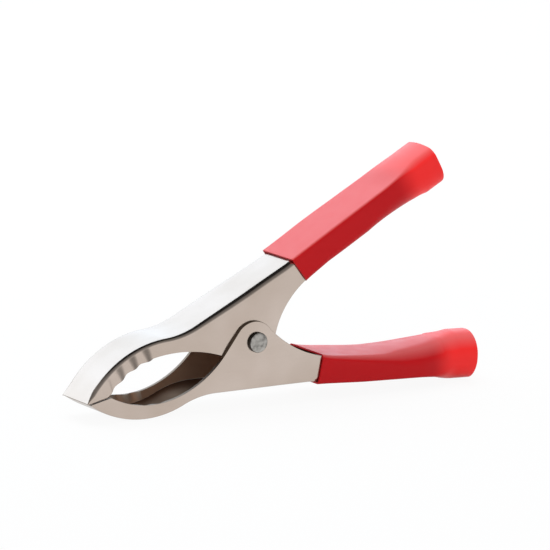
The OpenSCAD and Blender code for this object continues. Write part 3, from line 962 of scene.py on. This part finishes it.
def make_sleeve(name, body, outline, place, materials):
    """A sleeve: a grid rolled into a tube round the handle and thickened, with softened ends."""
    sizes = outline.lever.sizes
    sleeve = outline.sleeve
    bm = bmesh.new()
    bmesh.ops.create_grid(bm, x_segments=SLEEVE_STEPS, y_segments=2 * HALF_ROWS, size=1)
    painted_glow = bm.verts.layers.float.new("painted_glow")
    thickness = bm.verts.layers.float.new("wall_share")
    for vert in bm.verts:
        spot = mix(sleeve.start, outline.end, (vert.co.x + 1) / 2)
        row = round((vert.co.y + 1) * HALF_ROWS)
        # Painted glow of light through the vinyl, from in front of the handle's end to the round end
        vert[painted_glow] = smooth((spot - sizes.handle_length + GLOW_LEAD) / GLOW_LENGTH)
        vert[thickness] = mix(sleeve.mouth_wall / sleeve.wall, 1, smooth((spot - sleeve.start) / sleeve.hug))
        vert.co = outline.point(spot, row)
    bmesh.ops.remove_doubles(bm, verts=bm.verts, dist=MERGE)
    start = outline.lever.handle_start
    on_handle = Matrix.Translation((start.x, 0, start.y)) @ Matrix.Rotation(-sizes.handle_slope, 4, "Y")
    bm.transform(on_handle)
    if body == "lower_half":
        bmesh.ops.scale(bm, vec=(1, 1, -1), verts=bm.verts)
    bm.transform(place)
    bmesh.ops.recalc_face_normals(bm, faces=bm.faces)
    widest = max(bm.faces, key=lambda face: face.calc_center_median().y)
    if widest.normal.y < 0:
        bmesh.ops.reverse_faces(bm, faces=bm.faces)
    shares = [vert[thickness] for vert in bm.verts]
    piece = finish_mesh(bm, name + "_tube", body, [name], materials)
    thicken(piece, shares, sleeve.wall)
    soften(piece, segments=3, sharp=radians(60))


class CLIP_OT_sleeves(bpy.types.Operator):
    """Make the soft sleeves on the handles"""

    bl_idname = "clip.sleeves"
    bl_label = "Sleeves"

    def execute(self, context):
        sizes = context.scene.clip_levers
        sleeve = context.scene.clip_sleeves
        place = stand(sizes)
        colours = context.scene.clip_colours
        materials = [surface_material("soft_red_pvc", soft_red_vinyl, colours)]
        upper = LeverOutline(sizes, context.scene.clip_upper_edge)
        lower = LeverOutline(sizes, context.scene.clip_lower_edge)
        upper_tube = SleeveOutline(upper, sleeve, context.scene.clip_upper_tube)
        lower_tube = SleeveOutline(lower, sleeve, context.scene.clip_lower_tube)
        make_sleeve("upper_sleeve", "upper_half", upper_tube, place, materials)
        make_sleeve("lower_sleeve", "lower_half", lower_tube, place, materials)
        return {"FINISHED"}


# Stage

# Camera: its directions, its distance, and its aim to the right of the pivot and above it
CAMERA_RIGHT = Vector((0.8481, -0.5286, 0.0212))
CAMERA_UP = Vector((0.0843, 0.1757, 0.9807))
CAMERA_BACK = Vector((-0.5220, -0.8299, 0.1939))
CAMERA_DISTANCE = 1152 * MM
AIM_RIGHT = 7.69 * MM
AIM_UP = 13.47 * MM
LENS = 343.1
SENSOR = 36
# Lamps: direction from the clip, distance, width and height in metres, radiance, tint, seen in mirrors or not
LAMPS = {
    "back_softbox": ((0.0, 0.78, 0.5), 0.6, 1.1, 0.56, 2.04, "#dceefe", True),
    "front_fill": ((-0.3, -0.8, 0.5), 0.9, 0.8, 0.6, 1.1, "#ffffff", False),
    "top_fill": ((0.0, 0.2, 1.0), 0.9, 0.8, 0.8, 3.4, "#ffffff", False),
}
# Half the side of the floor in metres, and its share of plain white where it is seen or mirrored
FLOOR_REACH = 4
FLOOR_WHITE = 0.93
# Brightness of the studio for the light that it gives
STUDIO_LIGHT = 0.6
# Brightness of the studio where it is seen or mirrored, by degrees of elevation: white sweep, dark ceiling
STUDIO_LEVELS = [(0, 1.0), (2, 0.96), (8, 0.62), (16, 0.42), (30, 0.34), (45, 0.28), (55, 0.16), (61, 0.02)]


def seen_directly(tree):
    """Node that gives 1 for what the camera sees, straight or mirrored, and 0 for what only gives light."""
    rays = add_node(tree, "ShaderNodeLightPath").outputs
    return add_node(
        tree, "ShaderNodeMath", {0: rays["Is Camera Ray"], 1: rays["Is Glossy Ray"]}, operation="MAXIMUM"
    )


def soft_box(name, target, direction, distance, width, height, radiance, tint, mirrored):
    """A soft area light that faces a target, with a radiance at which 1 shows as white."""
    light = bpy.data.lights.new(name, "AREA")
    light.color = linear(tint)[:3]
    light.shape = "RECTANGLE"
    light.size = width
    light.size_y = height
    light.energy = radiance * pi * width * height
    lamp = bpy.data.objects.new(name, light)
    aim = Vector(direction).normalized()
    lamp.location = target + aim * distance
    lamp.rotation_euler = aim.to_track_quat("Z", "Y").to_euler()
    lamp.visible_camera = False
    lamp.visible_glossy = mirrored
    bpy.context.scene.collection.objects.link(lamp)


class CLIP_OT_stage(bpy.types.Operator):
    """Make the floor, the light and the camera"""

    bl_idname = "clip.stage"
    bl_label = "Stage"

    def execute(self, context):
        scene = context.scene
        scene.view_settings.view_transform = "Standard"
        target = PIVOT + AIM_RIGHT * CAMERA_RIGHT + AIM_UP * CAMERA_UP

        camera = bpy.data.cameras.new("camera")
        camera.lens = LENS
        camera.sensor_width = SENSOR
        camera.sensor_fit = "HORIZONTAL"
        camera.clip_start = 0.01
        camera.clip_end = 20
        eye = bpy.data.objects.new("camera", camera)
        turn = Matrix((CAMERA_RIGHT, CAMERA_UP, CAMERA_BACK)).transposed().to_4x4()
        eye.matrix_world = Matrix.Translation(target + CAMERA_DISTANCE * CAMERA_BACK) @ turn
        scene.collection.objects.link(eye)
        scene.camera = eye

        floor_material = new_material("pale_studio_floor")
        tree = floor_material.node_tree
        seen = seen_directly(tree)
        share = add_node(tree, "ShaderNodeMath", {0: seen, 1: FLOOR_WHITE}, operation="MULTIPLY")
        matt = add_node(tree, "ShaderNodeBsdfDiffuse", {"Color": scene.clip_colours.floor})
        white = add_node(tree, "ShaderNodeEmission", {"Strength": 1.0})
        surface = add_node(tree, "ShaderNodeMixShader", {0: share, 1: matt, 2: white})
        add_node(tree, "ShaderNodeOutputMaterial", {"Surface": surface})
        bm = bmesh.new()
        bmesh.ops.create_grid(bm, x_segments=8, y_segments=8, size=FLOOR_REACH)
        mesh = bpy.data.meshes.new("floor")
        bm.to_mesh(mesh)
        bm.free()
        mesh.materials.append(floor_material)
        ground = bpy.data.objects.new("floor", mesh)
        scene.collection.objects.link(ground)

        world = bpy.data.worlds.new("studio")
        world.use_nodes = True
        tree = world.node_tree
        tree.nodes.clear()
        direction = add_node(tree, "ShaderNodeTexCoord").outputs["Generated"]
        height = add_node(tree, "ShaderNodeSeparateXYZ", {"Vector": direction}).outputs["Z"]
        backdrop = add_node(tree, "ShaderNodeValToRGB", {"Fac": height})
        steps = backdrop.color_ramp.elements
        while len(steps) < len(STUDIO_LEVELS):
            steps.new(1.0)
        for step, (elevation, brightness) in zip(steps, STUDIO_LEVELS):
            step.position = sin(radians(elevation))
            step.color = (brightness, brightness, brightness, 1)
        seen = seen_directly(tree)
        level = add_node(tree, "ShaderNodeMix", {"Factor": seen, "A": STUDIO_LIGHT, "B": backdrop})
        light = add_node(tree, "ShaderNodeBackground", {"Strength": level})
        add_node(tree, "ShaderNodeOutputWorld", {"Surface": light})
        scene.world = world

        for name, values in LAMPS.items():
            soft_box(name, target, *values)
        return {"FINISHED"}


class CLIP_PT_pieces(bpy.types.Panel):
    """Buttons for the pieces of the clip"""

    bl_idname = "CLIP_PT_pieces"
    bl_label = "Spring battery clip"
    bl_space_type = "VIEW_3D"
    bl_region_type = "UI"
    bl_category = "Clip"

    def draw(self, context):
        for operator in OPERATORS:
            self.layout.operator(operator.bl_idname)


GROUPS = {
    "clip_levers": LeverSizes,
    "clip_upper_edge": UpperEdge,
    "clip_lower_edge": LowerEdge,
    "clip_pivot": PivotSizes,
    "clip_sleeves": SleeveSizes,
    "clip_upper_tube": UpperTube,
    "clip_lower_tube": LowerTube,
    "clip_colours": ClipColours,
}
OPERATORS = [CLIP_OT_stage, CLIP_OT_levers, CLIP_OT_rivet, CLIP_OT_spring, CLIP_OT_sleeves]
CLASSES = [*GROUPS.values(), *OPERATORS, CLIP_PT_pieces]


def register():
    """Registers the classes and gives the scene its groups of sizes."""
    for cls in CLASSES:
        bpy.utils.register_class(cls)
    for name, group in GROUPS.items():
        setattr(bpy.types.Scene, name, bpy.props.PointerProperty(type=group))


def unregister():
    """Takes the groups of sizes and the classes away again."""
    for name in GROUPS:
        delattr(bpy.types.Scene, name)
    for cls in reversed(CLASSES):
        bpy.utils.unregister_class(cls)


def main():
    """Registers the add-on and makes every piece."""
    register()
    bpy.ops.clip.stage()
    bpy.ops.clip.levers()
    bpy.ops.clip.rivet()
    bpy.ops.clip.spring()
    bpy.ops.clip.sleeves()


if __name__ == "__main__":
    main()
